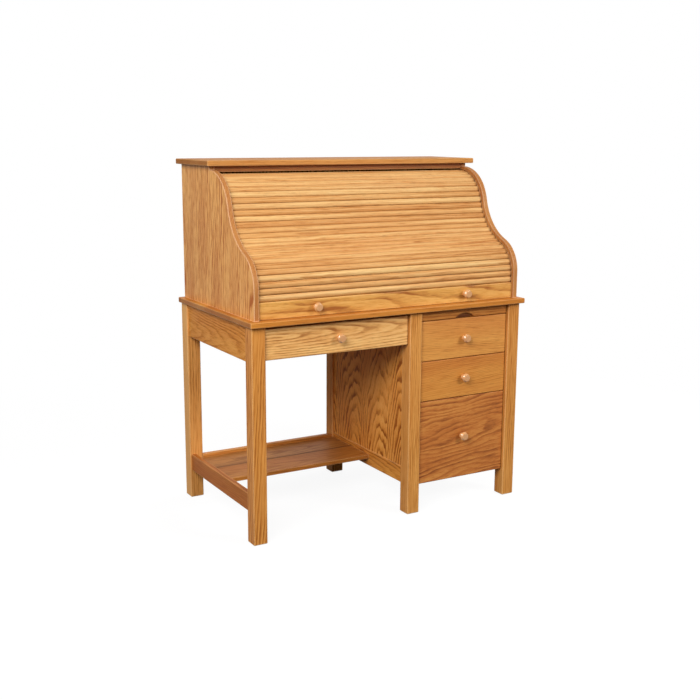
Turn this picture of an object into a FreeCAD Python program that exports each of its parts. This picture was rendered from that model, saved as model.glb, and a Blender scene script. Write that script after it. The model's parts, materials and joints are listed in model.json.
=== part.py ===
import FreeCAD, Part
import math
import os

# Roll top computer desk, in millimetres.
# X runs along the width, Y from the front (minus) to the back (plus), Z up from the floor.

# Desk top and legs
desk_width = 1118
desk_depth = 630
desk_height = 762
top_thickness = 19
top_edge_round = 3.5
leg_size = 51
leg_edge_round = 4
leg_foot_bevel = 2
leg_side_inset = 10
leg_front_inset = 18
leg_back_inset = 3
pedestal_opening = 384

# Rails, panels and shelf of the open side and the pedestal
rail_thickness = 19
rail_recess = 6
rail_edge_round = 2
apron_height = 122
lower_rail_bottom = 106
lower_rail_height = 62
panel_thickness = 12
panel_recess = 8
back_panel_thickness = 6
back_panel_recess = 16
shelf_top_height = 150
shelf_board_thickness = 16
shelf_depth = 278
shelf_seam = 1
shelf_rail_stand = 13

# Drawers and the writing slide
front_thickness = 19
front_recess = 11
front_edge_round = 3
drawer_gap = 2
centre_top_gap = 10
centre_height = 105
deep_bottom = 103
shallow_height = 145
slide_top_gap = 3
slide_height = 34
slide_front_thickness = 14
slide_board_thickness = 12
slide_board_drop = 2
notch_width = 89
notch_height = 18
notch_depth = 9
pedestal_box_back_gap = 60
centre_box_back_gap = 87
slide_board_back_gap = 58
box_side_inset = 4
box_side_thickness = 12
box_bottom_gap = 10
box_top_gap = 15
bottom_thickness = 6
bottom_lift = 8
groove_depth = 6
groove_clearance = 0.2

# Wooden runners under the drawers and the slide
runner_thickness = 10
runner_reach = 18
runner_fence_height = 30
runner_fence_gap = 1.5

# Turned knobs
knob_radius = 16
knob_base_radius = 10
knob_neck_radius = 7
knob_base_height = 2
knob_neck_height = 7
knob_rim_height = 17
knob_dome_height = 23
knob_dome_share = 0.72
knob_height = 26
deep_knob_rise = 6
lift_knob_share = 0.59
lift_knob_height = 31

# Hutch
gable_side_inset = 22.5
gable_thickness = 19
gable_front_inset = 22
gable_back_inset = 9
gable_height = 484
gable_edge_round = 2
hutch_top_overhang = 19
hutch_top_depth = 293
hutch_top_thickness = 19
hutch_back_thickness = 6
hutch_back_housing = 8
header_thickness = 18
header_height = 21
header_setback = 2

# Curved front edge of the gables: a convex foot, a hollow waist and a convex crown
foot_straight = 98
foot_radius = 122
waist_radius = 200
crown_radius = 150
crown_centre_setback = 265
crown_centre_rise = 321

# Track of the roll: under the hutch top, round a back corner and down a sloping back run
track_inset = 17
track_width = 11
track_depth = 7
corner_radius = 72
corner_centre_setback = 103
back_run_lean = 12
back_run_length = 340

# The roll: slats in pairs on canvas, above a lift rail
slat_count = 26
slats_per_pair = 2
slat_pitch = 21.4
slat_gap = 1
slat_thickness = 9.5
slat_side_height = 3.5
slat_end_clearance = 0.6
canvas_inset = 22
canvas_thickness = 0.8
canvas_end_gap = 1.2
lift_rail_height = 58
lift_rail_thickness = 13
lift_rail_edge_round = 3
lift_rail_foot_gap = 0.5

# Overrun of every cutting body past the face it cuts
overrun = 1
half_circle = 180
search_rounds = 40
match_tolerance = 0.01

# Planes that several pieces share
left_side = -desk_width / 2
right_side = desk_width / 2
front_side = -desk_depth / 2
back_side = desk_depth / 2
under_top = desk_height - top_thickness
leg_front = front_side + leg_front_inset
leg_back = back_side - leg_back_inset
between_front = leg_front + leg_size
between_back = leg_back - leg_size
left_leg = left_side + leg_side_inset
right_leg = right_side - leg_side_inset - leg_size
middle_leg_left = right_leg - pedestal_opening - leg_size
drawer_face = leg_front + front_recess
drawer_back_face = drawer_face + front_thickness
lower_rail_top = lower_rail_bottom + lower_rail_height
left_panel_x = middle_leg_left + panel_recess
pedestal_left = middle_leg_left + leg_size
pedestal_right = right_leg
kneehole_left = left_leg + leg_size
left_rail_x = left_leg + rail_recess
rear_apron_y = leg_back - rail_recess - rail_thickness
pedestal_back_y = leg_back - back_panel_recess - back_panel_thickness
slide_bottom = under_top - slide_top_gap - slide_height

gable_spread = desk_width - 2 * gable_side_inset
gable_front = front_side + gable_front_inset
gable_back = back_side - gable_back_inset
gable_top = desk_height + gable_height
gable_inner = gable_spread / 2 - gable_thickness
crown_centre_y = back_side - crown_centre_setback
corner_centre_y = back_side - corner_centre_setback
foot_centre = (gable_front + foot_radius, desk_height + foot_straight)
crown_centre = (crown_centre_y, desk_height + crown_centre_rise)


def box(x0, x1, y0, y1, z0, z1):
    return Part.makeBox(x1 - x0, y1 - y0, z1 - z0, FreeCAD.Vector(x0, y0, z0))


def runs_along(edge, axis):
    start = edge.Vertexes[0].Point
    span = edge.Vertexes[-1].Point - start
    return abs(abs(span.dot(axis)) - edge.Length) < match_tolerance


def eased(shape, axis, radius):
    edges = [edge for edge in shape.Edges if runs_along(edge, axis)]
    return shape.makeFillet(radius, edges)


def eased_at_face(shape, axis, level, radius):
    edges = []
    for edge in shape.Edges:
        levels = [abs(vertex.Point.dot(axis) - level) for vertex in edge.Vertexes]
        if max(levels) < match_tolerance:
            edges.append(edge)
    return shape.makeFillet(radius, edges)


along_x = FreeCAD.Vector(1, 0, 0)
along_y = FreeCAD.Vector(0, 1, 0)
along_z = FreeCAD.Vector(0, 0, 1)


def save(node, *solids):
    shape = solids[0] if len(solids) == 1 else Part.makeCompound(list(solids))
    shape.exportStep("parts/" + node + ".step")


def mirrored(shape, x):
    return shape.mirror(FreeCAD.Vector(x, 0, 0), along_x)


# Points and arcs in the side view, where Y is across and Z is up
def side_point(y, z):
    return FreeCAD.Vector(0, y, z)


def polar(centre, radius, degrees):
    turn = math.radians(degrees)
    return side_point(centre[0] + radius * math.cos(turn), centre[1] + radius * math.sin(turn))


def line(start, end):
    return Part.LineSegment(start, end).toShape()


def arc(centre, radius, start, end):
    middle = (start + end) / 2
    points = [polar(centre, radius, degrees) for degrees in (start, middle, end)]
    return Part.Arc(*points).toShape()


# Angle from one point to another, from zero up to a full turn
def bearing(start, end):
    degrees = math.degrees(math.atan2(end[1] - start[1], end[0] - start[0]))
    return degrees % (2 * half_circle)


# The waist circle touches the foot circle and the crown circle from outside
def find_waist_centre():
    foot_reach = foot_radius + waist_radius
    crown_reach = crown_radius + waist_radius
    span = math.hypot(crown_centre[0] - foot_centre[0], crown_centre[1] - foot_centre[1])
    along = (foot_reach ** 2 - crown_reach ** 2 + span ** 2) / (2 * span)
    aside = math.degrees(math.acos(along / foot_reach))
    reach = polar(foot_centre, foot_reach, bearing(foot_centre, crown_centre) + aside)
    return (reach.y, reach.z)


waist_centre = find_waist_centre()
foot_end = bearing(foot_centre, waist_centre)
crown_start = bearing(crown_centre, waist_centre)
quarter = half_circle / 2


# Front curve from the desk top to the crown, set in from the gable's edge
def front_curve(inset):
    base = side_point(gable_front + inset, desk_height)
    knee = polar(foot_centre, foot_radius - inset, half_circle)
    return [
        line(base, knee),
        arc(foot_centre, foot_radius - inset, half_circle, foot_end),
        arc(waist_centre, waist_radius + inset, foot_end - half_circle, crown_start - half_circle),
        arc(crown_centre, crown_radius - inset, crown_start, quarter),
    ]


# The rest of the track, from the crown to the end of the back run
def stow_curve(inset):
    crown = polar(crown_centre, crown_radius - inset, quarter)
    corner = (corner_centre_y, crown_centre[1] + crown_radius - corner_radius)
    corner_start = polar(corner, corner_radius - inset, quarter)
    corner_end = polar(corner, corner_radius - inset, -back_run_lean)
    lean = math.radians(back_run_lean)
    run = FreeCAD.Vector(0, -math.sin(lean), -math.cos(lean)).multiply(back_run_length)
    return [
        line(crown, corner_start),
        arc(corner, corner_radius - inset, quarter, -back_run_lean),
        line(corner_end, corner_end + run),
    ]


def extruded(edges, x, width):
    wire = Part.Wire(Part.__sortEdges__(edges))
    face = Part.Face(wire)
    face.translate(FreeCAD.Vector(x, 0, 0))
    return face.extrude(FreeCAD.Vector(width, 0, 0))


def track_cutter(x, width):
    outer_inset = track_inset - track_width / 2
    inner_inset = track_inset + track_width / 2
    outer = front_curve(outer_inset) + stow_curve(outer_inset)
    inner = front_curve(inner_inset) + stow_curve(inner_inset)
    ends = [
        line(outer[0].Vertexes[0].Point, inner[0].Vertexes[0].Point),
        line(outer[-1].Vertexes[-1].Point, inner[-1].Vertexes[-1].Point),
    ]
    return extruded(outer + inner + ends, x, width)


def gable():
    left = -gable_spread / 2
    crown = polar(crown_centre, crown_radius, quarter)
    neck = side_point(crown_centre_y, gable_top)
    top_back = side_point(gable_back, gable_top)
    base_back = side_point(gable_back, desk_height)
    base_front = side_point(gable_front, desk_height)
    outline = front_curve(0)
    outline += [line(crown, neck), line(neck, top_back)]
    outline += [line(top_back, base_back), line(base_back, base_front)]
    board = extruded(outline, left, gable_thickness)
    curved = []
    for edge in board.Edges:
        in_front = all(vertex.Point.y < crown_centre_y + overrun for vertex in edge.Vertexes)
        above_top = any(vertex.Point.z > desk_height + overrun for vertex in edge.Vertexes)
        below_neck = all(vertex.Point.z < gable_top - overrun for vertex in edge.Vertexes)
        if in_front and above_top and below_neck and not runs_along(edge, along_x):
            curved.append(edge)
    board = board.makeFillet(gable_edge_round, curved)
    inner = left + gable_thickness
    board = board.cut(track_cutter(inner - track_depth, track_depth + overrun))
    housing = box(
        inner - hutch_back_housing, inner + overrun,
        gable_back - hutch_back_thickness, gable_back + overrun,
        desk_height - overrun, gable_top + overrun,
    )
    return board.cut(housing)


def make_hutch():
    left_gable = gable()
    save("left_gable", left_gable)
    save("right_gable", mirrored(left_gable, 0))
    top_half = gable_spread / 2 + hutch_top_overhang
    board = box(
        -top_half, top_half,
        back_side - hutch_top_depth, back_side,
        gable_top, gable_top + hutch_top_thickness,
    )
    save("hutch_top", board.makeFillet(top_edge_round, board.Edges))
    back_half = gable_inner + hutch_back_housing
    save("hutch_back", box(
        -back_half, back_half,
        gable_back - hutch_back_thickness, gable_back,
        desk_height, gable_top,
    ))
    header_front = crown_centre_y + header_setback
    header = box(
        -gable_inner, gable_inner,
        header_front, header_front + header_thickness,
        gable_top - header_height, gable_top,
    )
    save("header_rail", eased(header, along_x, rail_edge_round))


def make_desk_top():
    board = box(left_side, right_side, front_side, back_side, under_top, desk_height)
    save("desk_top", board.makeFillet(top_edge_round, board.Edges))


def leg(x, y):
    post = box(x, x + leg_size, y, y + leg_size, 0, under_top)
    post = eased(post, along_z, leg_edge_round)
    foot = [edge for edge in post.Edges if max(v.Point.z for v in edge.Vertexes) < leg_foot_bevel]
    return post.makeChamfer(leg_foot_bevel, foot)


def make_legs():
    columns = {"left": left_leg, "middle": middle_leg_left, "right": right_leg}
    for name, x in columns.items():
        save("front_" + name + "_leg", leg(x, leg_front))
        save("rear_" + name + "_leg", leg(x, between_back))


def rail(x0, x1, y0, y1, z0, z1, axis):
    return eased(box(x0, x1, y0, y1, z0, z1), axis, rail_edge_round)


def make_open_side():
    x0 = left_rail_x
    x1 = left_rail_x + rail_thickness
    apron_bottom = under_top - apron_height
    save("left_apron", rail(x0, x1, between_front, between_back, apron_bottom, under_top, along_y))
    save("left_lower_rail", rail(
        x0, x1, between_front, between_back, lower_rail_bottom, lower_rail_top, along_y,
    ))
    save("rear_apron", rail(
        kneehole_left, middle_leg_left, rear_apron_y, rear_apron_y + rail_thickness,
        apron_bottom, under_top, along_x,
    ))
    save("shelf_rear_rail", rail(
        kneehole_left, middle_leg_left, between_back, between_back + rail_thickness,
        lower_rail_bottom, shelf_top_height + shelf_rail_stand, along_x,
    ))


def make_shelf():
    x0 = left_rail_x + rail_thickness
    x1 = middle_leg_left + rail_recess
    shelf_front = between_back - shelf_depth
    middle = (shelf_front + between_back) / 2
    bottom = shelf_top_height - shelf_board_thickness
    spans = {
        "front": (shelf_front, middle - shelf_seam / 2),
        "rear": (middle + shelf_seam / 2, between_back),
    }
    for name, (y0, y1) in spans.items():
        board = rail(x0, x1, y0, y1, bottom, shelf_top_height, along_x)
        save("shelf_" + name + "_board", board)


def make_pedestal_case():
    case_middle = (pedestal_left + pedestal_right) / 2
    panel = box(
        left_panel_x, left_panel_x + panel_thickness,
        between_front, between_back, lower_rail_top, under_top,
    )
    lower = rail(
        middle_leg_left + rail_recess, middle_leg_left + rail_recess + rail_thickness,
        between_front, between_back, lower_rail_bottom, lower_rail_top, along_y,
    )
    save("pedestal_left_panel", panel)
    save("pedestal_left_rail", lower)
    save("pedestal_right_panel", mirrored(panel, case_middle))
    save("pedestal_right_rail", mirrored(lower, case_middle))
    save("pedestal_back_panel", box(
        pedestal_left, pedestal_right,
        pedestal_back_y, pedestal_back_y + back_panel_thickness, lower_rail_bottom, under_top,
    ))


# A turned knob whose base sits on a face, pointing to the front
def knob(x, y, z):
    def spot(radius, height):
        return FreeCAD.Vector(radius, -height, 0)

    base = spot(knob_base_radius, knob_base_height)
    neck = spot(knob_neck_radius, knob_neck_height)
    rim = spot(knob_radius, knob_rim_height)
    dome = spot(knob_radius * knob_dome_share, knob_dome_height)
    tip = spot(0, knob_height)
    outline = Part.BSplineCurve()
    outline.interpolate(
        Points=[base, neck, rim, dome, tip], InitialTangent=-along_y, FinalTangent=-along_x,
    )
    edges = [
        line(spot(0, 0), spot(knob_base_radius, 0)),
        line(spot(knob_base_radius, 0), base),
        outline.toShape(),
        line(tip, spot(0, 0)),
    ]
    turned = Part.Face(Part.Wire(edges)).revolve(FreeCAD.Vector(0, 0, 0), along_y, 2 * half_circle)
    turned.translate(FreeCAD.Vector(x, y, z))
    return turned


def drawer_front(x0, x1, z0, z1, thickness):
    board = box(x0, x1, drawer_face, drawer_face + thickness, z0, z1)
    return eased_at_face(board, along_y, drawer_face, front_edge_round)


# Drawer box behind a front: two grooved sides and a back, with a loose bottom in the grooves
def drawer_box(x0, x1, z0, z1, y1):
    y0 = drawer_back_face
    floor = z0 + bottom_lift
    groove = box(
        x0 + box_side_thickness - groove_depth, x1 - box_side_thickness + groove_depth,
        y0 - overrun, y1 - box_side_thickness + groove_depth,
        floor - groove_clearance, floor + bottom_thickness + groove_clearance,
    )
    left = box(x0, x0 + box_side_thickness, y0, y1, z0, z1).cut(groove)
    right = box(x1 - box_side_thickness, x1, y0, y1, z0, z1).cut(groove)
    back = box(
        x0 + box_side_thickness, x1 - box_side_thickness,
        y1 - box_side_thickness, y1, z0, z1,
    ).cut(groove)
    bottom = box(
        x0 + box_side_thickness - groove_depth + groove_clearance,
        x1 - box_side_thickness + groove_depth - groove_clearance,
        y0, y1 - box_side_thickness + groove_depth - groove_clearance,
        floor - groove_clearance, floor - groove_clearance + bottom_thickness,
    )
    return [left, right, back], bottom


def make_drawer(name, x0, x1, z0, z1, box_back, knob_rise=0):
    save(name + "_front", drawer_front(x0, x1, z0, z1, front_thickness))
    walls, bottom = drawer_box(
        x0 + box_side_inset, x1 - box_side_inset, z0 + box_bottom_gap, z1 - box_top_gap, box_back,
    )
    save(name + "_box", *walls)
    save(name + "_bottom", bottom)
    save(name + "_knob", knob((x0 + x1) / 2, drawer_face, (z0 + z1) / 2 + knob_rise))


# A runner carries the edge of a drawer box and has a fence beside it
def runner(wall, box_edge, level, fence_height):
    base = box(wall, box_edge + runner_reach, between_front, between_back,
               level - runner_thickness, level)
    fence = box(wall, box_edge - runner_fence_gap, between_front, between_back,
                level, level + fence_height)
    return base.fuse(fence).removeSplitter()


def make_pedestal_drawers():
    x0 = pedestal_left + drawer_gap
    x1 = pedestal_right - drawer_gap
    case_middle = (x0 + x1) / 2
    panel_wall = left_panel_x + panel_thickness
    rail_wall = middle_leg_left + rail_recess + rail_thickness
    upper_bottom = slide_bottom - drawer_gap - shallow_height
    middle_bottom = upper_bottom - drawer_gap - shallow_height
    spans = {
        "upper_drawer": (upper_bottom, slide_bottom - drawer_gap),
        "middle_drawer": (middle_bottom, upper_bottom - drawer_gap),
        "deep_drawer": (deep_bottom, middle_bottom - drawer_gap),
    }
    runners = []
    for name, (z0, z1) in spans.items():
        rise = deep_knob_rise if name == "deep_drawer" else 0
        make_drawer(name, x0, x1, z0, z1, pedestal_back_y - pedestal_box_back_gap, rise)
        wall = rail_wall if z0 < lower_rail_top else panel_wall
        side = runner(wall, x0 + box_side_inset, z0 + box_bottom_gap, runner_fence_height)
        runners += [side, mirrored(side, case_middle)]
    save("pedestal_runners", *runners)


def make_centre_drawer():
    x0 = kneehole_left + drawer_gap
    x1 = middle_leg_left - drawer_gap
    top = under_top - centre_top_gap
    bottom = top - centre_height
    make_drawer("centre_drawer", x0, x1, bottom, top, rear_apron_y - centre_box_back_gap)
    level = bottom + box_bottom_gap
    left = runner(left_rail_x + rail_thickness, x0 + box_side_inset, level, runner_fence_height)
    right = runner(-left_panel_x, -x1 + box_side_inset, level, runner_fence_height)
    save("centre_runners", left, mirrored(right, 0))


def make_writing_slide():
    bottom = slide_bottom
    x0 = pedestal_left + drawer_gap
    x1 = pedestal_right - drawer_gap
    middle = (x0 + x1) / 2
    board_top = bottom + slide_height - slide_board_drop
    level = board_top - slide_board_thickness
    strip = drawer_front(x0, x1, bottom, bottom + slide_height, slide_front_thickness)
    arch = Part.Arc(
        FreeCAD.Vector(middle - notch_width / 2, 0, bottom - overrun),
        FreeCAD.Vector(middle, 0, bottom + notch_height),
        FreeCAD.Vector(middle + notch_width / 2, 0, bottom - overrun),
    ).toShape()
    chord = line(arch.Vertexes[-1].Point, arch.Vertexes[0].Point)
    notch = Part.Face(Part.Wire([arch, chord]))
    notch.translate(FreeCAD.Vector(0, drawer_face - overrun, 0))
    notch = notch.extrude(FreeCAD.Vector(0, overrun + notch_depth, 0))
    save("writing_slide_front", strip.cut(notch))
    board_front = drawer_face + slide_front_thickness
    save("writing_slide_board", box(
        x0 + box_side_inset, x1 - box_side_inset,
        board_front, pedestal_back_y - slide_board_back_gap, level, board_top,
    ))
    side = runner(left_panel_x + panel_thickness, x0 + box_side_inset, level, slide_board_thickness)
    save("slide_runners", side, mirrored(side, middle))


# Hinge lines of the roll lie on the canvas, one chord apart
def canvas_point(edges, length):
    for edge in edges:
        if length <= edge.Length:
            return edge.valueAt(edge.getParameterByLength(length))
        length -= edge.Length
    return edges[-1].Vertexes[-1].Point


def hinge_points():
    edges = front_curve(canvas_inset) + stow_curve(canvas_inset)
    pair_span = slats_per_pair * slat_pitch
    spans = [lift_rail_height] + [pair_span] * (slat_count // slats_per_pair)
    reached = lift_rail_foot_gap
    points = [canvas_point(edges, reached)]
    for span in spans:
        low = reached
        high = reached + 2 * span
        for _ in range(search_rounds):
            middle = (low + high) / 2
            if canvas_point(edges, middle).distanceToPoint(points[-1]) < span:
                low = middle
            else:
                high = middle
        reached = low
        points.append(canvas_point(edges, reached))
    return points


# A piece of the roll is drawn on its chord: u runs along it, v out towards the front
def chord_frame(start, end):
    along = (end - start).normalize()
    outward = FreeCAD.Vector(0, -along.z, along.y)
    return lambda u, v: start + along * u + outward * v


def roll_solid(edges):
    half = gable_inner - slat_end_clearance
    return extruded(edges, -half, 2 * half)


def slat(place, u0, u1):
    corners = [place(u0, slat_side_height), place(u0, 0), place(u1, 0), place(u1, slat_side_height)]
    crest = place((u0 + u1) / 2, slat_thickness)
    edges = [line(start, end) for start, end in zip(corners, corners[1:])]
    edges.append(Part.Arc(corners[-1], crest, corners[0]).toShape())
    return roll_solid(edges)


def bar(place, u0, u1, v0, v1):
    corners = [place(u0, v0), place(u1, v0), place(u1, v1), place(u0, v1)]
    edges = [line(start, end) for start, end in zip(corners, corners[1:] + corners[:1])]
    return roll_solid(edges)


def make_roll():
    points = hinge_points()
    place = chord_frame(points[0], points[1])
    rail_bar = bar(place, 0, lift_rail_height - slat_gap / 2, 0, lift_rail_thickness)
    save("lift_rail", eased(rail_bar, along_x, lift_rail_edge_round))
    face_y = place(0, lift_rail_thickness).y
    knob_z = points[0].z + lift_knob_height
    save("lift_knobs", *[knob(side * lift_knob_share * gable_inner, face_y, knob_z) for side in (-1, 1)])
    for number, (start, end) in enumerate(zip(points[1:], points[2:]), 1):
        place = chord_frame(start, end)
        pieces = []
        for index in range(slats_per_pair):
            u0 = index * slat_pitch + slat_gap / 2
            pieces.append(slat(place, u0, u0 + slat_pitch - slat_gap))
        canvas_end = slats_per_pair * slat_pitch - canvas_end_gap
        pieces.append(bar(place, canvas_end_gap, canvas_end, -canvas_thickness, 0))
        save("slat_pair_%02d" % number, *pieces)


os.makedirs("parts", exist_ok=True)
make_desk_top()
make_legs()
make_open_side()
make_shelf()
make_pedestal_case()
make_pedestal_drawers()
make_centre_drawer()
make_writing_slide()
make_hutch()
make_roll()
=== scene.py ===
import json
import math
import bmesh
import bpy
from mathutils import Matrix, Vector


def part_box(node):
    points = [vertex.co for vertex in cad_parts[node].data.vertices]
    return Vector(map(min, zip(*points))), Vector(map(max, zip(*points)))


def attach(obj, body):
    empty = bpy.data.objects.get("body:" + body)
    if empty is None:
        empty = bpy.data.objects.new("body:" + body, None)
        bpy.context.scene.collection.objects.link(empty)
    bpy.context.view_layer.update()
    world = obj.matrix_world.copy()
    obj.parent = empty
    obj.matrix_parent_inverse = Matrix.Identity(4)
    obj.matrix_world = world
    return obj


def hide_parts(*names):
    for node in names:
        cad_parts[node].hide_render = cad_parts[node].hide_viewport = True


# Roll top desk in golden oak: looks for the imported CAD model, in metres, in its frame
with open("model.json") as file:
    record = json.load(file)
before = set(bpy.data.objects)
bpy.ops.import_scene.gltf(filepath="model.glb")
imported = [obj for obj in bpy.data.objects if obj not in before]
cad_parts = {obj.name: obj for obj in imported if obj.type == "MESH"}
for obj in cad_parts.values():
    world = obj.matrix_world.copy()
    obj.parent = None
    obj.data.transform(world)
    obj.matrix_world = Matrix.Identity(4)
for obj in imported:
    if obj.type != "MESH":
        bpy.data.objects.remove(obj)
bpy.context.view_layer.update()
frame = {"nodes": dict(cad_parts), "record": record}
nodes = frame["nodes"]
bodies = frame["record"]["behaviour"]["bodies"]
white = (1, 1, 1, 1)


# An sRGB hex colour as the linear one that nodes want
def linear(code):
    parts = [int(code[n:n + 2], 16) / 255 for n in (1, 3, 5)]
    return [p / 12.92 if p <= 0.04045 else ((p + 0.055) / 1.055) ** 2.4 for p in parts] + [1]


# Adds one node: sockets are values or links, by name or in their order; stops fill a colour ramp;
# settings are the node's own properties
def addNode(tree, kind, sockets=(), stops=(), **settings):
    made = tree.nodes.new("ShaderNode" + kind)
    for name, value in settings.items():
        setattr(made, name, value)
    for name, value in sockets.items() if isinstance(sockets, dict) else enumerate(sockets):
        if isinstance(value, bpy.types.NodeSocket):
            tree.links.new(value, made.inputs[name])
        else:
            made.inputs[name].default_value = value
    for n, (place, colour) in enumerate(stops):
        ramp = made.color_ramp.elements
        stop = ramp[n] if n < 2 else ramp.new(place)   # a new ramp has two stops
        stop.position = place
        stop.color = linear(colour) if isinstance(colour, str) else [colour] * 3 + [1]
    return made


def startMaterial(name):
    material = bpy.data.materials.new(name)
    material.use_nodes = True
    material.node_tree.nodes.clear()
    return material, material.node_tree


def coat(material, *names):
    for name in names:
        mesh = nodes[name].data
        mesh.materials.clear()
        mesh.materials.append(material)


def metres(sizes):
    return [v / 1000 for v in sizes]


# Noise scale for marks of a size in mm, along and across the grain
def perMetre(size, fine=1):
    return (1000 * fine / size[0], 1000 * fine / size[1], 1000 * fine / size[1])


# Wave scale for bands of a width in mm: at scale 1 they stand 2 pi / 20 metres apart
def waveScale(width):
    return 2 * math.pi / 20 / (width / 1000)


# Oak under a satin golden lacquer. It was sawn from logs, so growth rings round a far pith show
# as cathedrals on flat-sawn faces and as straight lines on the rest; pores fill the dark spring bands.
oakBoard = {
    "grain": "x", "tilt": (0, 0, 0),   # axis of the log, and its lean in degrees
    "pith": (0, 0, 0),                 # a point on the log's heart, in mm
    "ring": 6,                         # mm; real rings are 2 to 4 mm, drawn wider so that they show
    "waver": 14, "jag": 0.7,           # mm that the rings wander, and how frayed they are in ring widths
    "stave": 0,                        # mm width of boards glued edge to edge, 0 for one board
    "attribute": "",                   # mesh attribute that numbers the boards, where they are modelled
    "shift": (1900, 40, 20),           # mm that each numbered board is moved in its own log
    "light": "#E3B26A", "mid": "#D0954C", "dark": "#9A5C28", "pore": "#7C4A20", "blush": "#B8672B",
    "contrast": 0.55, "fibre": 0.5, "dash": 0.28, "cloud": 0.45, "boardTone": 0.35, "blushShare": 0.4,
    "fine": 1,                         # how much finer the fibres and dashes are
    # the end tone is the cut ends' own tone, and on the rear left leg painted side light
    "endAxis": "", "endGrainAndSideLight": "#8A5526", "endShare": 0.55,   # faces across this axis have a tone of their own,
    "endRange": (0.75, 0.97),          # as a rule the cut ends; a falling range takes all other faces
    "edge": "#F3CB92", "arrisWearAndPaintedLightShare": 0.4,   # lacquer rubbed thin on the arrises, with a painted highlight; a dark colour gives painted shade by a gap
    "paintedShade": None,                     # painted shade: middle and half sizes in mm, colour and share of a place darkened as if in shade
    "rough": (0.4, 0.56), "coat": 0.04, "coatRough": 0.28, "level": 0.22,
}
grainTurn = {"x": (0, 0, 0), "y": (0, 0, 90), "z": (0, -90, 0)}
grainAxis = {"x": (1, 0, 0), "y": (0, 1, 0), "z": (0, 0, 1)}
# Layers of the figure: mm along and across the grain, octaves and their roughness
grainLayers = {
    "waver": ((340, 70), 2, 0.5),
    "jag": ((60, 8), 2, 0.5),
    "patch": ((300, 48), 2, 0.5),   # where the rings stand out or fade
    "fibre": ((240, 4.5), 4, 0.65),
    "pore": ((26, 1.5), 1, 0.5),    # real pores are 0.3 mm wide, drawn wider so that they show
    "dash": ((75, 3.4), 2, 0.5),    # clusters of pores
    "cloud": ((700, 80), 2, 0.5),
}
finerLayers = ("fibre", "dash")
# From low, from high, to low, to high
patchRange = (0.32, 0.68, 0.3, 1.3)
poreRange = (0.52, 0.7)
bandRange = (0.05, 0.7, 0.15, 0.85)
dashRange = (0.5, 0.7, 0.4, 1.4)
blushRange = (0.4, 0.72)
arrisRange = (0.992, 0.93)   # cosine between the flat face and its rounded arris
paintedShadeRange = (1, 0.55)       # from the rim of the painted shade to where it is darkest
springBand = [(0, 0.9), (1, 0.85), (0.12, 1), (0.42, 0.3), (0.75, 0.02), (0.93, 0.1)]   # steep start, slow fade
plainTone = 0.3              # tone of the wood between the rings
lightStop, midStop, darkStop = 0.1, 0.5, 1
poreTint = 0.55
poreDepth = 0.8              # against the height of the fibres
reliefHeight = 0.4           # mm
reliefStrength = 0.22
arrisWidth = 4.5             # mm
arrisSamples = 4


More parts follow.
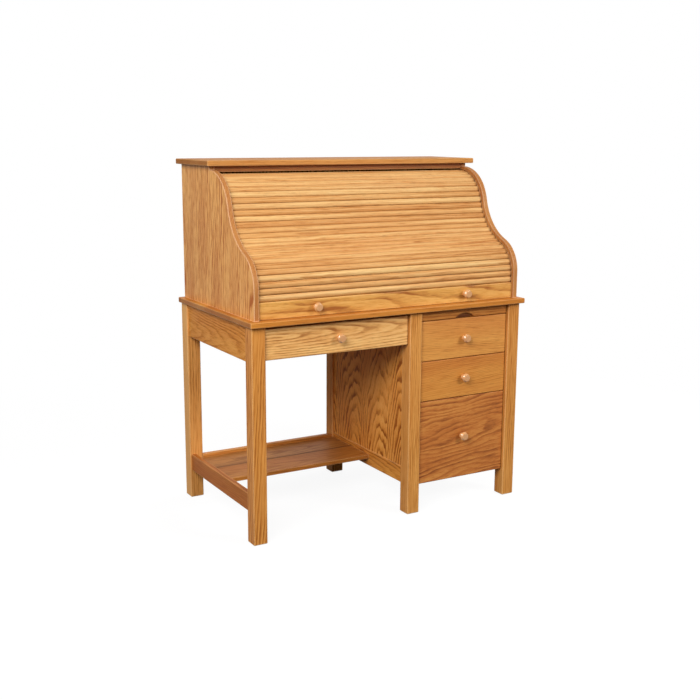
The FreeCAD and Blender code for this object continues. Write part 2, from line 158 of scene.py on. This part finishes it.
def oak(name, look):
    look = {**oakBoard, **look}
    material, tree = startMaterial(name)
    coords = addNode(tree, "TexCoord")
    turn = [math.radians(a + b) for a, b in zip(grainTurn[look["grain"]], look["tilt"])]
    log = addNode(tree, "Mapping", {
        "Vector": coords.outputs["Object"], "Location": metres(look["pith"]), "Rotation": turn,
    }, vector_type="TEXTURE").outputs[0]
    # each glued board comes from another place in the log
    number = boardTone = None
    if look["stave"]:
        wide = look["stave"] / 1000
        across = addNode(tree, "SeparateXYZ", [log])
        count = addNode(tree, "Math", [across.outputs["Y"], wide], operation="DIVIDE")
        number = addNode(tree, "Math", [count.outputs[0]], operation="FLOOR").outputs[0]
        left = addNode(tree, "Math", [number, -wide, -wide / 2], operation="MULTIPLY_ADD")
        back = addNode(tree, "CombineXYZ", {"Y": left.outputs[0]})
        log = addNode(tree, "VectorMath", [log, back.outputs[0]], operation="ADD").outputs[0]
    if look["attribute"]:
        number = addNode(tree, "Attribute", attribute_name=look["attribute"]).outputs["Fac"]
    if number:
        chance = addNode(tree, "TexWhiteNoise", {"W": number}, noise_dimensions="1D").outputs
        boardTone = chance["Value"]
        log = addNode(tree, "VectorMath", [chance["Color"], metres(look["shift"]), log],
                      operation="MULTIPLY_ADD").outputs[0]
    noise = {}
    for layer, (size, octaves, roughness) in grainLayers.items():
        scale = perMetre(size, look["fine"] if layer in finerLayers else 1)
        drawn = addNode(tree, "VectorMath", [log, scale], operation="MULTIPLY")
        noise[layer] = addNode(tree, "TexNoise", {
            "Vector": drawn.outputs[0], "Scale": 1, "Detail": octaves, "Roughness": roughness,
        }).outputs
    # growth rings that wander along the log, frayed, and faint in places
    wander = metres((0, look["waver"], look["waver"]))
    bent = addNode(tree, "VectorMath", [noise["waver"]["Color"], wander, log], operation="MULTIPLY_ADD")
    fray = metres((0, look["ring"] * look["jag"], look["ring"] * look["jag"]))
    frayed = addNode(tree, "VectorMath", [noise["jag"]["Color"], fray, bent.outputs[0]], operation="MULTIPLY_ADD")
    rings = addNode(tree, "TexWave", {"Vector": frayed.outputs[0], "Scale": waveScale(look["ring"])},
                    wave_type="RINGS", rings_direction="X", wave_profile="SAW")
    band = addNode(tree, "ValToRGB", [rings.outputs["Fac"]], stops=springBand)
    strength = addNode(tree, "MapRange", [noise["patch"]["Fac"], *patchRange])
    spring = addNode(tree, "Math", [band.outputs[0], strength.outputs[0]], operation="MULTIPLY").outputs[0]
    # pores crowd in the dark bands
    pore = addNode(tree, "MapRange", [noise["pore"]["Fac"], *poreRange])
    inBand = addNode(tree, "MapRange", [spring, *bandRange])
    pores = addNode(tree, "Math", [pore.outputs[0], inBand.outputs[0]], operation="MULTIPLY").outputs[0]
    dash = addNode(tree, "MapRange", [noise["dash"]["Fac"], *dashRange])
    tone = addNode(tree, "Math", [spring, look["contrast"], plainTone], operation="MULTIPLY_ADD").outputs[0]
    for source, share in ((noise["fibre"]["Fac"], look["fibre"]), (dash.outputs[0], look["dash"]),
                          (noise["cloud"]["Fac"], look["cloud"]), (boardTone, look["boardTone"])):
        if source:
            centred = addNode(tree, "Math", [source, 0.5], operation="SUBTRACT").outputs[0]
            tone = addNode(tree, "Math", [centred, share, tone], operation="MULTIPLY_ADD").outputs[0]
    wood = addNode(tree, "ValToRGB", [tone], stops=[
        (lightStop, look["light"]), (darkStop, look["dark"]), (midStop, look["mid"])])
    # tints laid over the wood, one after another
    blushed = addNode(tree, "MapRange", [noise["cloud"]["Color"], *blushRange, 0, look["blushShare"]])
    pored = addNode(tree, "Math", [pores, poreTint], operation="MULTIPLY")
    axis = grainAxis[look["endAxis"] or look["grain"]]
    facing = addNode(tree, "VectorMath", [coords.outputs["Normal"], axis], operation="DOT_PRODUCT")
    end = addNode(tree, "Math", [facing.outputs["Value"]], operation="ABSOLUTE")
    endGrainAndSideLightMask = addNode(tree, "MapRange", [end.outputs[0], *look["endRange"], 0, look["endShare"]])
    # tint on the arrises: a light colour is rubbed lacquer with a painted highlight, a dark one is painted shade by a
    # gap
    rounded = addNode(tree, "Bevel", {"Radius": arrisWidth / 1000}, samples=arrisSamples)
    flat = addNode(tree, "NewGeometry")
    flush = addNode(tree, "VectorMath", [rounded.outputs[0], flat.outputs["Normal"]], operation="DOT_PRODUCT")
    arrisWearAndPaintedLight = addNode(tree, "MapRange", [flush.outputs["Value"], *arrisRange, 0, look["arrisWearAndPaintedLightShare"]])
    tints = [(blushed, look["blush"]), (pored, look["pore"]), (endGrainAndSideLightMask, look["endGrainAndSideLight"]), (arrisWearAndPaintedLight, look["edge"])]
    # painted shade where shade falls: a recess, a seam, a gable's inner face
    if look["paintedShade"]:
        middle, half, paintedShadeColour, paintedShadeShare = look["paintedShade"]
        spot = addNode(tree, "Mapping", {
            "Vector": coords.outputs["Object"], "Location": metres(middle), "Scale": metres(half),
        }, vector_type="TEXTURE")
        away = addNode(tree, "VectorMath", [spot.outputs[0]], operation="LENGTH")
        paintedShadeMask = addNode(tree, "MapRange", [away.outputs["Value"], *paintedShadeRange, 0, paintedShadeShare])
        tints.append((paintedShadeMask, paintedShadeColour))
    colour = wood.outputs[0]
    for share, tint in tints:
        colour = addNode(tree, "Mix", {0: share.outputs[0], 6: colour, 7: linear(tint)}, data_type="RGBA").outputs[2]
    rough = addNode(tree, "MapRange", [tone, 0, 1, *look["rough"]])
    height = addNode(tree, "Math", [pores, -poreDepth, noise["fibre"]["Fac"]], operation="MULTIPLY_ADD")
    bump = addNode(tree, "Bump", {
        "Strength": reliefStrength, "Distance": reliefHeight / 1000, "Height": height.outputs[0],
    })
    shader = addNode(tree, "BsdfPrincipled", {
        "Base Color": colour, "Roughness": rough.outputs[0], "Normal": bump.outputs[0],
        "Coat Weight": look["coat"], "Coat Roughness": look["coatRough"], "Specular IOR Level": look["level"],
    })
    addNode(tree, "OutputMaterial", {"Surface": shader.outputs[0]})
    return material


# Desk top and hutch top: wide boards glued up from staves
deskTop = {"pith": (0, -370, 560), "tilt": (0, 0.6, 0.4), "ring": 5, "stave": 110, "contrast": 0.35,
           "light": "#DB9943", "mid": "#C47C2D", "dark": "#8E4D16", "endGrainAndSideLight": "#784010", "level": 0.12}
hutchTop = {**deskTop, "pith": (300, -40, 1130), "light": "#D9A05B", "mid": "#C38445", "level": 0.04, "coat": 0}
coat(oak("lacqueredOakDeskTop", deskTop), "desk_top")
coat(oak("lacqueredOakHutchTop", hutchTop), "hutch_top")

# Shelf: two boards that lie in the shade of the kneehole, with painted shade along the seam between them
shelf = {"tilt": (0, 3, 1.0), "ring": 8, "light": "#BE8039", "mid": "#A16327", "dark": "#724015",
         "contrast": 0.4, "rough": (0.44, 0.56), "level": 0.1, "coat": 0,
         "paintedShade": ((-227, 122, 150), (3000, 8, 60), "#4A2810", 0.65)}
coat(oak("lacqueredOakShelfFront", {**shelf, "pith": (-400, 40, 90)}), "shelf_front_board")
coat(oak("lacqueredOakShelfRear", {**shelf, "pith": (100, 200, 70), "mid": "#9C6530"}), "shelf_rear_board")

# Legs: square posts with straight grain, each from another place in the log, with painted highlights and rubbed
# lacquer on the arrises
legs = {"grain": "z", "tilt": (0, 0.8, 0), "light": "#E0A156", "mid": "#CB8840", "dark": "#93501A",
        "contrast": 0.4, "fibre": 0.95, "dash": 0.34, "arrisWearAndPaintedLightShare": 0.7, "level": 0.1, "coat": 0.02}
legFigures = {
    "front_left_leg": {"pith": (-700, -190, 0), "tilt": (0, 4, 2), "ring": 9, "waver": 24, "jag": 0.4,
                       "light": "#DD9B4E", "mid": "#C68038", "contrast": 0.5},
    "rear_left_leg": {"pith": (-640, 400, 200), "light": "#EAAC62", "mid": "#D6944C",
                      "endAxis": "x", "endGrainAndSideLight": "#EEB76C", "endShare": 0.4},   # painted light: paler on its left and right faces
    "front_middle_leg": {"pith": (-60, -180, 300)},
    "rear_middle_leg": {"pith": (190, 420, 100), "light": "#E6A65C", "mid": "#CC8A44", "level": 0.06, "coat": 0},
    "front_right_leg": {"pith": (400, -160, 500)},
    "rear_right_leg": {"pith": (640, 420, 0)},
}

# Aprons and rails: one board each, flat-sawn
rails = {"light": "#D89749", "mid": "#C07B36", "dark": "#8C4E1E", "contrast": 0.5}
railFigures = {
    "left_apron": {"grain": "y", "pith": (-500, 0, 675), "tilt": (0, 1, 5), "ring": 8, "waver": 30, "jag": 0.4,
                   "light": "#DF9B46", "mid": "#C97F2D", "dark": "#944F0F", "contrast": 0.4, "level": 0.08, "coat": 0},
    "rear_apron": {"pith": (0, 240, 690), "tilt": (0, 1.5, 4)},
    "left_lower_rail": {"grain": "y", "pith": (-490, 0, 60), "tilt": (0, 1, 1),
                        "light": "#C47A32", "mid": "#A25A20", "level": 0.06, "coat": 0},
    "shelf_rear_rail": {"pith": (0, 330, 80), "tilt": (0, 1, 1), "light": "#DC9846"},
    "pedestal_left_rail": {"grain": "y", "pith": (140, 0, 120), "tilt": (0, 1.5, 3), "light": "#E6A04A",
                           "mid": "#CE8334", "contrast": 0.4, "level": 0.06, "coat": 0},
    "pedestal_right_rail": {"grain": "y", "pith": (470, 0, 170), "tilt": (0, 1.5, 3)},
    "header_rail": {"pith": (0, 130, 1190), "tilt": (0, 1, 1), "light": "#B8782F", "mid": "#965B23"},
}

# Drawer fronts and writing slide: each sawn from another part of the log, with painted shade along the edges by the
# gaps
fronts = {"light": "#DE9F4E", "mid": "#C98339", "dark": "#904F18", "edge": "#6E3C16"}
frontFigures = {
    "centre_drawer_front": {"pith": (-150, -250, 714), "tilt": (0, 0.4, 4), "ring": 9, "waver": 20, "jag": 0.35,
                            "light": "#F7CC86", "mid": "#E4AB63", "dark": "#9C622B", "contrast": 0.58},
    "upper_drawer_front": {"pith": (200, -180, 320), "tilt": (0, 2.2, 0.5), "light": "#E4A755", "mid": "#CF8B40",
                           "contrast": 0.2, "fibre": 0.62, "cloud": 1.0, "blushShare": 0.5},
    "middle_drawer_front": {"pith": (200, -160, 190), "tilt": (0, -3, 0.6), "light": "#D99745", "mid": "#C27A31",
                            "contrast": 0.24, "fibre": 0.62, "cloud": 1.0, "blushShare": 0.5},
    "deep_drawer_front": {"pith": (420, -225, 320), "tilt": (0, -5, 7), "ring": 20, "waver": 84, "jag": 0.22,
                          "light": "#CF8B43", "mid": "#B56B2E", "dark": "#7A3E15", "cloud": 0.9},
    # darker than the other fronts: painted shade under the desk top
    "writing_slide_front": {"pith": (200, -150, 640), "tilt": (0, 0.4, 0.5), "light": "#CC8C44", "mid": "#AE6A2E",
                            "contrast": 0.45, "level": 0.1,
                            "paintedShade": ((306, -275, 706), (47, 10, 19), "#4E260E", 0.9)},   # painted shade in the finger notch
    "writing_slide_board": {"pith": (200, 20, 640), "tilt": (0, 0.8, 0.8), "stave": 90},
}
for common, figures in ((legs, legFigures), (rails, railFigures), (fronts, frontFigures)):
    for node, figure in figures.items():
        coat(oak("lacqueredOak_" + node, {**common, **figure}), node)

# Gables: upright boards glued edge to edge, sawn to the S. The sawn edge is darker than the sides, with a painted
# highlight on its arrises.
gables = {"grain": "z", "tilt": (0, 1.5, 0.3), "ring": 8, "stave": 120, "shift": (1900, 160, 60),
          "light": "#F3BC70", "mid": "#E2A257", "dark": "#A2501A", "pore": "#8E4A1A",
          "contrast": 0.6, "fibre": 0.95, "dash": 0.7, "fine": 1.5, "boardTone": 0.16, "blushShare": 0.5,
          "endAxis": "x", "endRange": (0.93, 0.6), "endShare": 0.75, "endGrainAndSideLight": "#A66B3A",
          "edge": "#F0C8A2", "arrisWearAndPaintedLightShare": 0.75, "level": 0.12}
gableInside = 517.5   # mm from the middle of the desk
for side, node, pith in ((-1, "left_gable", (-480, -310, 900)), (1, "right_gable", (480, -330, 600))):
    gableInsideShade = ((side * gableInside, 0, 1000), (1.2, 3000, 3000), "#8A5022", 0.6)   # painted shade on the inner face beside the roll
    coat(oak("lacqueredOak_" + node, {**gables, "pith": pith, "paintedShade": gableInsideShade}), node)

# Panels: flat-sliced veneer in matched leaves, with bold cathedrals
panels = {"grain": "z", "tilt": (0, 13, 0), "ring": 13, "stave": 190, "shift": (1900, 40, 30),
          "light": "#EFAC5A", "mid": "#DB8F3F", "dark": "#8A4815", "contrast": 0.67, "boardTone": 0.15,
          "waver": 46, "jag": 0.3, "level": 0.06, "coat": 0}
acrossBack = {**panels, "tilt": (0, -9, 90)}   # for the panels that face the back
coat(oak("oakVeneerPedestalLeft", {**panels, "pith": (110, -330, 300)}), "pedestal_left_panel")
coat(oak("oakVeneerPedestalRight", {**panels, "pith": (480, -330, 350)}), "pedestal_right_panel")
coat(oak("oakVeneerPedestalBack", {**acrossBack, "pith": (120, 330, 300)}), "pedestal_back_panel")
coat(oak("oakVeneerHutchBack", {**acrossBack, "pith": (-500, 340, 900)}), "hutch_back")

# Drawer boxes and runners: plain sanded poplar, pale and quiet
boxWood = {"grain": "y", "pith": (0, 0, -300), "tilt": (0, 0.6, 0.8), "ring": 8, "contrast": 0.3,
           "light": "#E6D2AA", "mid": "#D9BF90", "dark": "#B89B69", "endGrainAndSideLight": "#B59A6C", "pore": "#B89B69",
           "coat": 0, "rough": (0.6, 0.7)}
bottomWood = {**boxWood, "grain": "x", "pith": (0, 0, 1400), "stave": 120}
# Turned knobs: pale maple with a glossier coat, and a faint painted highlight on the arrises
knobWood = {"grain": "y", "pith": (0, 0, 800), "ring": 5, "contrast": 0.3, "light": "#E8B276", "mid": "#D4985A",
            "dark": "#AE7038", "endGrainAndSideLight": "#BE8450", "pore": "#A97446", "arrisWearAndPaintedLightShare": 0.2,
            "coat": 1, "coatRough": 0.1, "rough": (0.3, 0.4)}
drawers = ("centre_drawer", "upper_drawer", "middle_drawer", "deep_drawer")
coat(oak("sandedPoplarBoxes", boxWood), *[d + "_box" for d in drawers],
     "centre_runners", "pedestal_runners", "slide_runners")
coat(oak("sandedPoplarBottoms", bottomWood), *[d + "_bottom" for d in drawers])
coat(oak("turnedMapleKnobs", knobWood), *[d + "_knob" for d in drawers], "lift_knobs")

# Lift rail: one flat-sawn board with a broad cathedral
liftRail = {"pith": (-80, -225, 792), "tilt": (0, 0.8, 4), "ring": 20, "waver": 56, "jag": 0.16,
            "light": "#EAB768", "mid": "#D39848", "dark": "#94561E", "contrast": 0.62}
coat(oak("lacqueredOakLiftRail", liftRail), "lift_rail")
print("oak:", len(bpy.data.materials), "materials on the carried-over pieces")

# The roll: beaded oak slats, each from its own strip of wood, glued to canvas; sizes in metres
slats = {
    "cadGap": 0.001, "gap": 0.0006,                  # between the CAD slats and between these
    "side": 0.0038, "crest": 0.0095,                 # heights over the canvas
    "draft": 0.0002,                                 # each side leans in, so that the roll can bend
    "arcSteps": 12, "shoulderRound": 0.0009, "endRound": 0.0006,
    "shoulderTurn": (15, 60),                        # degrees; the edges between these are shoulders
    "look": {"pith": (-200, 60, 980), "tilt": (0, 0.3, 0.3), "attribute": "slatNumber", "shift": (1900, 90, 60),
             "light": "#E7BF80", "mid": "#D6A061", "dark": "#A6662E", "contrast": 0.32, "fibre": 0.8,
             "cloud": 0.7, "boardTone": 0.4, "level": 0.1, "coat": 0.02,
             "edge": "#C88845"},                     # painted shade along the grooves between the slats
}
slatOak = oak("lacqueredOakSlats", slats["look"])
sharpTurn = math.radians(40)   # edges that turn more than this are shaded sharp


# Place of a slat pair, read from its CAD node: its run up the roll, its outward side, its foot on the canvas
def pairFrame(node):
    points = [v.co for v in nodes[node].data.vertices]
    ys = [p.y for p in points]
    zs = [p.z for p in points]
    midY = sum(ys) / len(ys)
    midZ = sum(zs) / len(zs)
    yy = sum((y - midY) ** 2 for y in ys)
    zz = sum((z - midZ) ** 2 for z in zs)
    yz = sum((y - midY) * (z - midZ) for y, z in zip(ys, zs))
    lean = math.atan2(2 * yz, yy - zz) / 2
    along = Vector((0, math.cos(lean), math.sin(lean)))
    if along.y + along.z < 0:
        along.negate()
    outward = Vector((0, -along.z, along.y))
    middle = Vector((0, midY, midZ))
    run = [(p - middle).dot(along) for p in points]
    out = [(p - middle).dot(outward) for p in points]
    foot = middle + along * (max(run) + min(run)) / 2 + outward * (max(out) - slats["crest"])
    half = (max(run) - min(run) + slats["cadGap"] - slats["gap"]) / 2
    return {"foot": foot, "along": along, "outward": outward, "half": half}


# The corners among what an operator made
def cornersOf(geom):
    return [v for v in geom if isinstance(v, bmesh.types.BMVert)]


# One beaded slat: a point spun over the crest, two short sides, a flat foot
def beadedSlat(width, length):
    bm = bmesh.new()
    half = width / 2 - slats["draft"]
    rise = slats["crest"] - slats["side"]
    radius = (half ** 2 + rise ** 2) / (2 * rise)
    start = bm.verts.new((-length / 2, half, slats["side"]))
    spun = bmesh.ops.spin(bm, geom=[start], cent=(0, 0, slats["crest"] - radius), axis=(1, 0, 0),
                          angle=2 * math.asin(half / radius), steps=slats["arcSteps"], use_merge=False)
    feet = bmesh.ops.extrude_vert_indiv(bm, verts=[start] + cornersOf(spun["geom_last"]))["verts"]
    bmesh.ops.translate(bm, verts=feet, vec=(0, 0, -slats["side"]))
    bmesh.ops.scale(bm, verts=feet, vec=(1, width / 2 / half, 1))
    bm.edges.new(feet)
    section = bmesh.ops.edgeloop_fill(bm, edges=bm.edges)["faces"]
    far = bmesh.ops.extrude_face_region(bm, geom=section)["geom"]
    bmesh.ops.translate(bm, verts=cornersOf(far), vec=(length, 0, 0))
    bmesh.ops.recalc_face_normals(bm, faces=bm.faces)
    least, most = [math.radians(a) for a in slats["shoulderTurn"]]
    longEdges = [e for e in bm.edges if e.calc_length() > length / 2]
    shoulders = [e for e in longEdges if least < e.calc_face_angle() < most]
    bmesh.ops.bevel(bm, geom=shoulders, offset=slats["shoulderRound"], segments=2, profile=0.5,
                    affect="EDGES", material=-1)
    nearly = 1e-6
    ends = [e for e in bm.edges if all(abs(abs(v.co.x) - length / 2) < nearly for v in e.verts)]
    bmesh.ops.bevel(bm, geom=ends, offset=slats["endRound"], segments=1, profile=0.5,
                    affect="EDGES", material=-1)
    mesh = bpy.data.meshes.new("beadedSlat")
    bm.to_mesh(mesh)
    bm.free()
    return mesh


def finishPiece(bm, name, body, material):
    bmesh.ops.recalc_face_normals(bm, faces=bm.faces)
    for face in bm.faces:
        face.smooth = True
    for edge in bm.edges:
        edge.smooth = edge.calc_face_angle(0) < sharpTurn
    mesh = bpy.data.meshes.new(name)
    bm.to_mesh(mesh)
    bm.free()
    piece = bpy.data.objects.new(name, mesh)
    bpy.context.scene.collection.objects.link(piece)
    mesh.materials.append(material)
    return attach(piece, body)


# The slats of one section, numbered on from the section below
def addSlats(body, pairs, number):
    strip = bmesh.new()
    layer = strip.verts.layers.float.new("slatNumber")
    low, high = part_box(pairs[0])
    for pair in pairs:
        place = pairFrame(pair)
        width = place["half"] - slats["gap"] / 2
        shape = beadedSlat(width, high.x - low.x)
        turn = Matrix((Vector((1, 0, 0)), place["along"], place["outward"])).transposed().to_4x4()
        for side in (-1, 1):
            number += 1
            origin = place["foot"] + place["along"] * side * (width + slats["gap"]) / 2
            strip.from_mesh(shape)
            strip.verts.ensure_lookup_table()
            fresh = strip.verts[-len(shape.vertices):]
            bmesh.ops.transform(strip, matrix=Matrix.Translation(origin) @ turn, verts=fresh)
            for v in fresh:
                v[layer] = number
    made = finishPiece(strip, "tambourSlats_" + body[-1], body, slatOak)
    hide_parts(*pairs)
    return made, number


# Cotton duck: two sets of threads cross over and under, matt and unbleached, with painted shade in the creases where
# slats meet
canvas = {
    "thickness": 0.0007, "endGap": 0.0012, "seam": 0.0004,   # metres
    "thread": 3.2,                         # mm, four times the real spacing, so that the threads show
    "threadWander": 0.4, "threadScale": 60,
    "slub": (11, 5), "slubOctaves": 3,     # mm along and across; thicker places in the yarn
    "crease": 21.4,                        # mm, one for each slat
    "creaseBand": [(0, 0), (1, 0), (0.06, 1), (0.94, 1)],
    "weaveShare": 0.7, "creaseShadeShare": 0.25, "darkStop": 0.2, "lightStop": 1.0,
    "light": "#D8C8A4", "dark": "#A8946C",
    "relief": 0.0005, "reliefStrength": 0.6, "rough": 0.92, "sheen": 0.2,
}


def cottonDuck(name, look):
    material, tree = startMaterial(name)
    coords = addNode(tree, "TexCoord")
    split = addNode(tree, "SeparateXYZ", [coords.outputs["Object"]])
    run = addNode(tree, "Attribute", attribute_name="alongRoll")
    sheet = addNode(tree, "CombineXYZ", {"X": split.outputs["X"], "Y": run.outputs["Fac"]}).outputs[0]
    warp, weft = [addNode(tree, "TexWave", {
        "Vector": sheet, "Scale": waveScale(look["thread"]), "Distortion": look["threadWander"],
        "Detail Scale": look["threadScale"],
    }, bands_direction=way).outputs["Fac"] for way in ("X", "Y")]
    weave = addNode(tree, "Math", [warp, weft], operation="MULTIPLY").outputs[0]
    drawn = addNode(tree, "VectorMath", [sheet, perMetre(look["slub"])], operation="MULTIPLY")
    slub = addNode(tree, "TexNoise", {"Vector": drawn.outputs[0], "Scale": 1, "Detail": look["slubOctaves"]})
    crease = addNode(tree, "TexWave", {"Vector": sheet, "Scale": waveScale(look["crease"])},
                     bands_direction="Y", wave_profile="SAW")
    # painted shade along the creases
    creaseShade = addNode(tree, "ValToRGB", [crease.outputs["Fac"]], stops=look["creaseBand"]).outputs[0]
    tone = slub.outputs["Fac"]
    for source, share in ((weave, look["weaveShare"]), (creaseShade, look["creaseShadeShare"])):
        tone = addNode(tree, "Math", [source, share, tone], operation="MULTIPLY_ADD").outputs[0]
    colour = addNode(tree, "ValToRGB", [tone], stops=[
        (look["darkStop"], look["dark"]), (look["lightStop"], look["light"])])
    bump = addNode(tree, "Bump", {
        "Strength": look["reliefStrength"], "Distance": look["relief"], "Height": weave,
    })
    shader = addNode(tree, "BsdfPrincipled", {
        "Base Color": colour.outputs[0], "Roughness": look["rough"], "Normal": bump.outputs[0],
        "Sheen Weight": look["sheen"],
    })
    addNode(tree, "OutputMaterial", {"Surface": shader.outputs[0]})
    return material


canvasCloth = cottonDuck("unbleachedCottonDuck", canvas)


# One strip of canvas along a section, laid from pair to pair; run is its length from the foot of the roll
def addCanvas(body, pairs, run):
    places = [pairFrame(pair) for pair in pairs]
    stops = [p["foot"] - p["along"] * (p["half"] - canvas["seam"]) for p in places]
    stops.append(places[-1]["foot"] + places[-1]["along"] * (places[-1]["half"] - canvas["seam"]))
    low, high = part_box(pairs[0])
    inset = Vector((low.x + canvas["endGap"], 0, 0))
    cloth = bmesh.new()
    layer = cloth.verts.layers.float.new("alongRoll")
    tip = cloth.verts.new(stops[0] - places[0]["outward"] * canvas["thickness"] + inset)
    tip[layer] = run
    for here, there in zip(stops, stops[1:]):
        run += (there - here).length
        tip = bmesh.ops.extrude_vert_indiv(cloth, verts=[tip])["verts"][0]
        bmesh.ops.translate(cloth, verts=[tip], vec=there - here)
        tip[layer] = run
    wide = high.x - low.x - 2 * canvas["endGap"]
    far = bmesh.ops.extrude_edge_only(cloth, edges=cloth.edges)["geom"]
    bmesh.ops.translate(cloth, verts=cornersOf(far), vec=(wide, 0, 0))
    backing = finishPiece(cloth, "canvasBacking_" + body[-1], body, canvasCloth)
    return run


slatNumber = 0
clothRun = 0
for body in sorted(b for b in bodies if b.startswith("roll_section")):
    pairs = sorted(bodies[body])
    made, slatNumber = addSlats(body, pairs, slatNumber)
    clothRun = addCanvas(body, pairs, clothRun)
print("roll:", slatNumber, "slats on canvas")

# Studio: white to the eye, soft and even on the desk; sizes in metres
studio = {
    "ambient": 0.19, "aim": (0, 0, 0.75),
    "floorHalf": 12, "floorDrop": 0.0005,
    "floorSeen": 0.92, "floorCatch": 0.1,   # its own glow, and the share of lamplight that shows the shadow
    "floorFade": (0.9, 2.4),                # from here to there the floor turns plain white
    "floorBounce": "#4A4845",               # what it throws back on the desk
    "lamps": {                              # place, size and watts
        "key": ((-3.2, -2.9, 3.2), 2.2, 206),
        "fill": ((2.4, -3.6, 2.5), 1.2, 100),
        "left": ((-4.3, -1.5, 2.4), 2.4, 28),
        "side": ((4.3, 0.9, 2.0), 2.4, 130),
        "back": ((2.2, 4.0, 0.9), 2.2, 90),
    },
    "glinting": ("key", "fill", "left"),    # the other two only lift the shade of the sides
}


# Whether the eye sees a surface straight, in a reflection or through something
def seenByEye(tree):
    path = addNode(tree, "LightPath").outputs
    first = addNode(tree, "Math", [path["Is Camera Ray"], path["Is Glossy Ray"]], operation="MAXIMUM")
    return addNode(tree, "Math", [first.outputs[0], path["Is Transmission Ray"]], operation="MAXIMUM").outputs[0]


def addWorld(look):
    world = bpy.data.worlds.new("studioLight")
    bpy.context.scene.world = world
    world.use_nodes = True
    tree = world.node_tree
    tree.nodes.clear()
    soft = addNode(tree, "Background", {"Color": white, "Strength": look["ambient"]})
    plain = addNode(tree, "Background", {"Color": white, "Strength": 1})
    sky = addNode(tree, "MixShader", [seenByEye(tree), soft.outputs[0], plain.outputs[0]])
    addNode(tree, "OutputWorld", {"Surface": sky.outputs[0]})


def addFloor(look):
    material, tree = startMaterial("paleStudioFloor")
    grey = addNode(tree, "BsdfDiffuse", {"Color": linear(look["floorBounce"])})
    glow = addNode(tree, "Emission", {"Color": white, "Strength": look["floorSeen"]})
    catch = addNode(tree, "BsdfDiffuse", {"Color": [look["floorCatch"]] * 3 + [1]})
    shaded = addNode(tree, "AddShader", [glow.outputs[0], catch.outputs[0]])
    bright = addNode(tree, "Emission", {"Color": white, "Strength": 1})
    coords = addNode(tree, "TexCoord")
    away = addNode(tree, "VectorMath", [coords.outputs["Object"]], operation="LENGTH")
    fade = addNode(tree, "MapRange", [away.outputs["Value"], *look["floorFade"]])
    pale = addNode(tree, "MixShader", [fade.outputs[0], shaded.outputs[0], bright.outputs[0]])
    ground = addNode(tree, "MixShader", [seenByEye(tree), grey.outputs[0], pale.outputs[0]])
    addNode(tree, "OutputMaterial", {"Surface": ground.outputs[0]})
    bm = bmesh.new()
    bmesh.ops.create_grid(bm, x_segments=1, y_segments=1, size=look["floorHalf"])
    bmesh.ops.translate(bm, verts=bm.verts, vec=(0, 0, -look["floorDrop"]))
    mesh = bpy.data.meshes.new("studioFloor")
    bm.to_mesh(mesh)
    bm.free()
    floor = bpy.data.objects.new("studioFloor", mesh)
    mesh.materials.append(material)
    bpy.context.scene.collection.objects.link(floor)


def addLamps(look):
    for name, (place, size, power) in look["lamps"].items():
        lamp = bpy.data.lights.new(name + "Softbox", "AREA")
        lamp.size = size
        lamp.energy = power
        holder = bpy.data.objects.new(name + "Softbox", lamp)
        holder.location = place
        holder.rotation_euler = (Vector(look["aim"]) - Vector(place)).to_track_quat("-Z", "Y").to_euler()
        holder.visible_glossy = name in look["glinting"]
        bpy.context.scene.collection.objects.link(holder)


# Camera at the photo's place: metres, degrees and millimetres of lens
photoCamera = {"place": (-1.9585, -3.3358, 1.3662), "turn": 30.315, "tilt": -11.723, "roll": 0.332, "lens": 54.36}


def addCamera(look):
    camera = bpy.data.cameras.new("photoCamera")
    camera.lens = look["lens"]
    holder = bpy.data.objects.new("photoCamera", camera)
    turn = Matrix.Rotation(math.radians(-look["turn"]), 4, "Z")
    tilt = Matrix.Rotation(math.radians(90 + look["tilt"]), 4, "X")
    roll = Matrix.Rotation(math.radians(look["roll"]), 4, "Z")
    holder.matrix_world = Matrix.Translation(look["place"]) @ turn @ tilt @ roll
    bpy.context.scene.collection.objects.link(holder)
    bpy.context.scene.camera = holder


addWorld(studio)
addFloor(studio)
addLamps(studio)
addCamera(photoCamera)
bpy.context.scene.view_settings.view_transform = "Standard"
print("studio: lamps, floor and camera")
